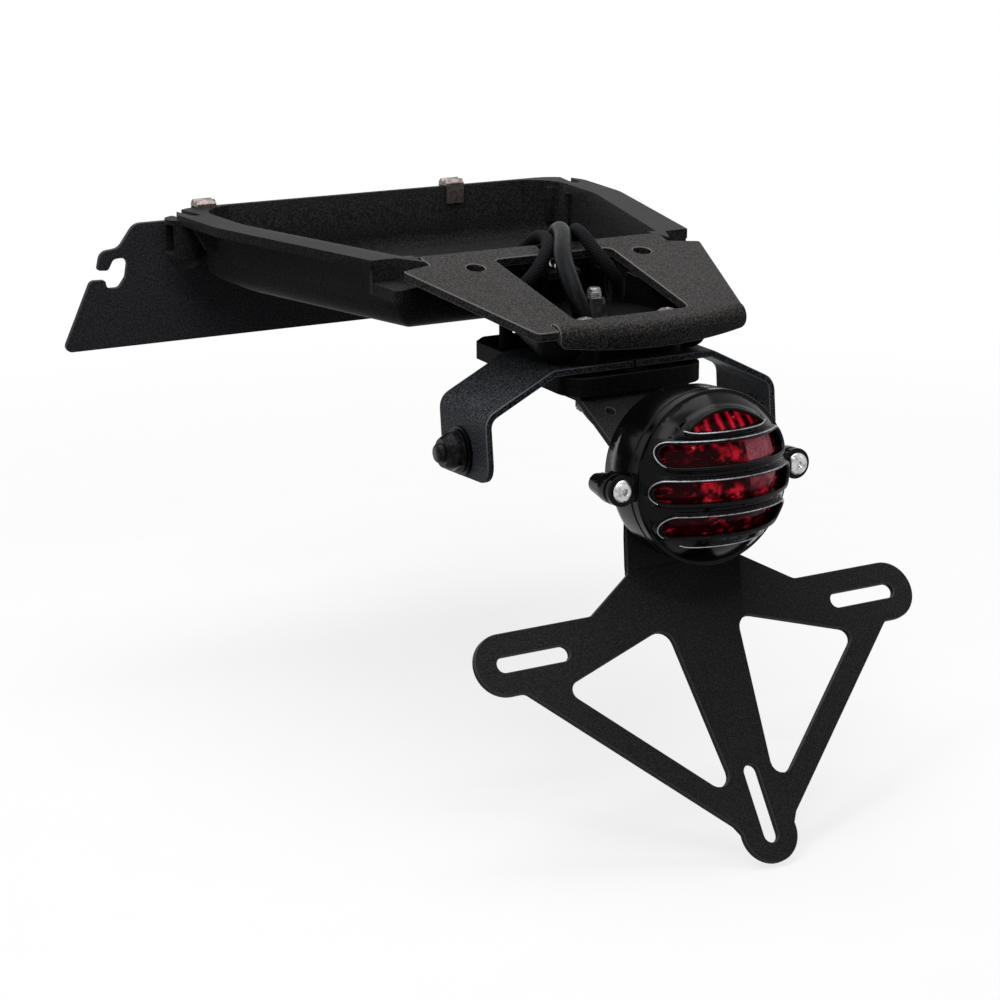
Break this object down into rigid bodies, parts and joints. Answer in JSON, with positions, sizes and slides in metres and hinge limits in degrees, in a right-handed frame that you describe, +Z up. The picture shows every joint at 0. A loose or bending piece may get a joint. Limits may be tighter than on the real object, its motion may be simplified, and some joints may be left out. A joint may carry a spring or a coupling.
{
  "type": "tail tidy",
  "caption": "Motorbike tail tidy: seat plate with undertray and splash guard, two indicator arms, a cable cover, a folded number plate hanger and a round grilled tail lamp.",
  "frame": {"origin": "midpoint between the two frame bolt holes, on the top face of the seat plate", "axes": "+Z up, square to the tray rim; +Y towards the front of the motorbike; +X to its right-hand side; the lamp faces -Y"},
  "size_m": [0.3336, 0.3801, 0.2282],
  "materials": {
    "powder_coat": "satin fine-textured powder coat",
    "tray_plastic": "fine-textured moulding",
    "cover_plastic": "satin moulding",
    "guard_sheet": "fine-textured sheet",
    "lamp_gloss": "gloss black",
    "red_lens": "clear red",
    "reflector": "bright",
    "stainless": "bright",
    "zinc": "dull plated",
    "black_steel": "blackened",
    "rubber": "matte",
    "rubber_sleeve": "satin",
    "braid": "woven sleeve",
    "plug_plastic": "matte"
  },
  "bodies": {
    "root": {"undertray": "tray_plastic", "front_guard": "guard_sheet", "rim_clips": "zinc", "seat_plate": "powder_coat", "rear_housing": "tray_plastic", "tray_screw": "stainless", "indicator_arm_left": "powder_coat", "indicator_arm_right": "powder_coat", "clamp_bolts": "stainless", "clamp_nuts": "zinc", "centre_bolt": "stainless", "centre_nut": "black_steel", "cable_cover": "cover_plastic", "plate_hanger": "powder_coat", "indicator_bolts": "black_steel", "indicator_washers": "black_steel", "indicator_nuts": "black_steel", "lamp_housing": "lamp_gloss", "lamp_gasket": "rubber", "lamp_board": "reflector", "lamp_lens": "red_lens", "lamp_grille": "lamp_gloss", "lamp_screws": "stainless", "lamp_mount_bolts": "zinc", "lamp_mount_nuts": "zinc", "cable_grommets": "rubber", "lamp_lead": "rubber_sleeve", "left_lead": "braid", "right_lead": "braid", "lead_plugs": "plug_plastic"}
  },
  "joints": []
}
